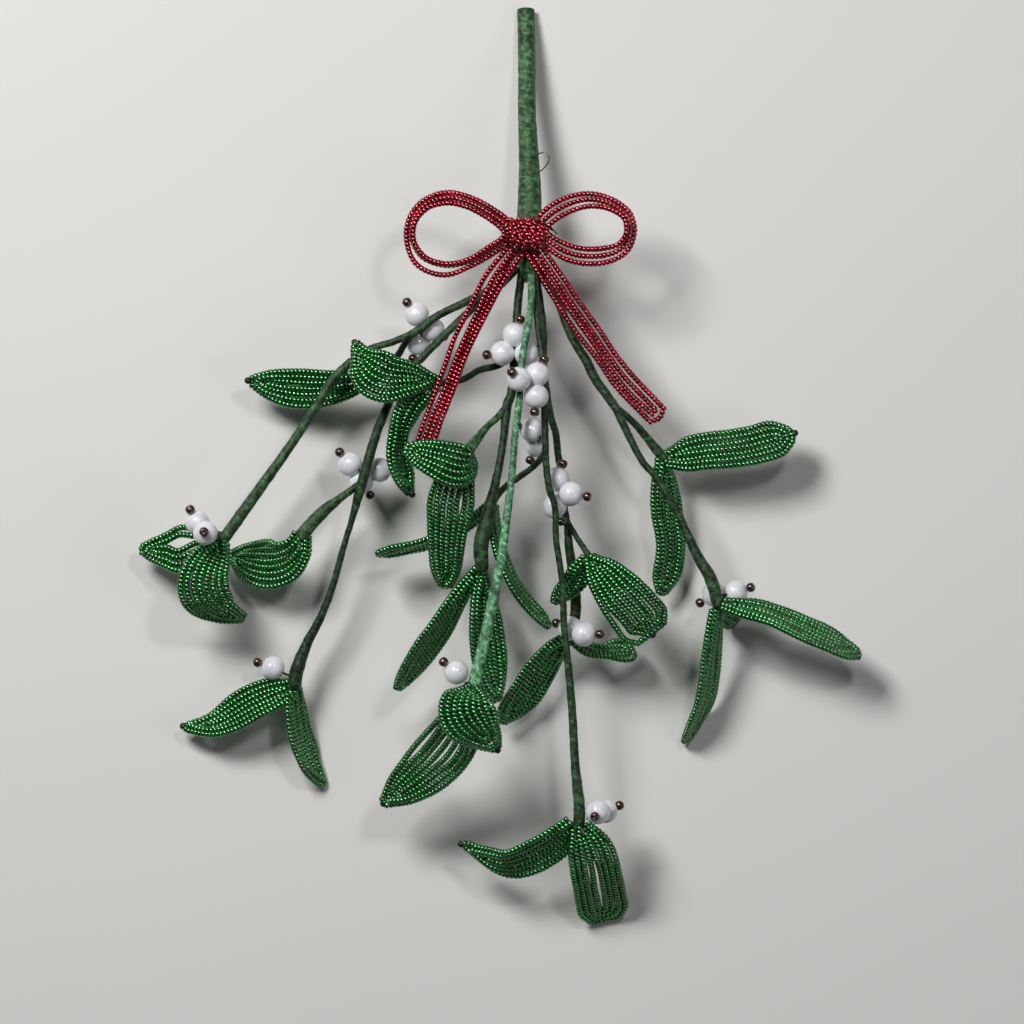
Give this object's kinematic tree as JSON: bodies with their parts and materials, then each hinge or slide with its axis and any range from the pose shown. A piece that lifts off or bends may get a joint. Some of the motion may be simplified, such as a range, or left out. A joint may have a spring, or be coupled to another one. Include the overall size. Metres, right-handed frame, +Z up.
{
  "type": "beaded mistletoe bunch",
  "caption": "Bunch of mistletoe made of glass seed beads on wire: beaded leaves, pearl berries and taped stems tied with a red bead bow, lying down.",
  "frame": {"origin": "middle of the bounding box in X and Y, at the table it lies on", "axes": "+Z up from the table, +Y towards the cut end of the trunk, +X to the right seen from above with the trunk pointing away"},
  "size_m": [0.2338, 0.2956, 0.0547],
  "materials": {
    "green_beads": "silver-lined glass seed beads in rows, polished",
    "stem_tape": "waxed crepe florist tape wound in a spiral, matt",
    "pale_tape": "pale waxed crepe florist tape wound in a spiral, matt",
    "pearl": "glass pearl with a soft pearly coat",
    "bronze_beads": "metallic bronze seed bead on bronze wire, shiny",
    "red_beads": "silver-lined glass seed beads in rows, polished"
  },
  "bodies": {
    "root": {"berries_01": "pearl", "berries_02": "pearl", "berries_03": "pearl", "berries_04": "pearl", "berries_05": "pearl", "berries_06": "pearl", "berries_07": "pearl", "berries_08": "pearl", "berries_09": "pearl", "berries_10": "pearl", "berries_11": "pearl", "berries_12": "pearl", "berry_wires_01": "bronze_beads", "berry_wires_02": "bronze_beads", "berry_wires_03": "bronze_beads", "berry_wires_04": "bronze_beads", "berry_wires_05": "bronze_beads", "berry_wires_06": "bronze_beads", "berry_wires_07": "bronze_beads", "berry_wires_08": "bronze_beads", "berry_wires_09": "bronze_beads", "berry_wires_10": "bronze_beads", "berry_wires_11": "bronze_beads", "berry_wires_12": "bronze_beads", "bow_knot": "red_beads", "bow_loop_left": "red_beads", "bow_loop_right": "red_beads", "bow_tails": "red_beads", "leaf_01": "green_beads", "leaf_02": "green_beads", "leaf_03": "green_beads", "leaf_04": "green_beads", "leaf_05": "green_beads", "leaf_06": "green_beads", "leaf_07": "green_beads", "leaf_08": "green_beads", "leaf_09": "green_beads", "leaf_10": "green_beads", "leaf_11": "green_beads", "leaf_12": "green_beads", "leaf_13": "green_beads", "leaf_14": "green_beads", "leaf_15": "green_beads", "leaf_16": "green_beads", "leaf_17": "green_beads", "leaf_18": "green_beads", "leaf_19": "green_beads", "leaf_20": "green_beads", "leaf_21": "green_beads", "leaf_22": "green_beads", "leaf_23": "green_beads", "leaf_24": "green_beads", "leaf_25": "green_beads", "leaf_26": "green_beads", "leaf_27": "green_beads", "stem_inner": "stem_tape", "stem_left": "stem_tape", "stem_pale": "pale_tape", "stem_right": "stem_tape", "stem_trunk": "stem_tape"}
  },
  "joints": []
}
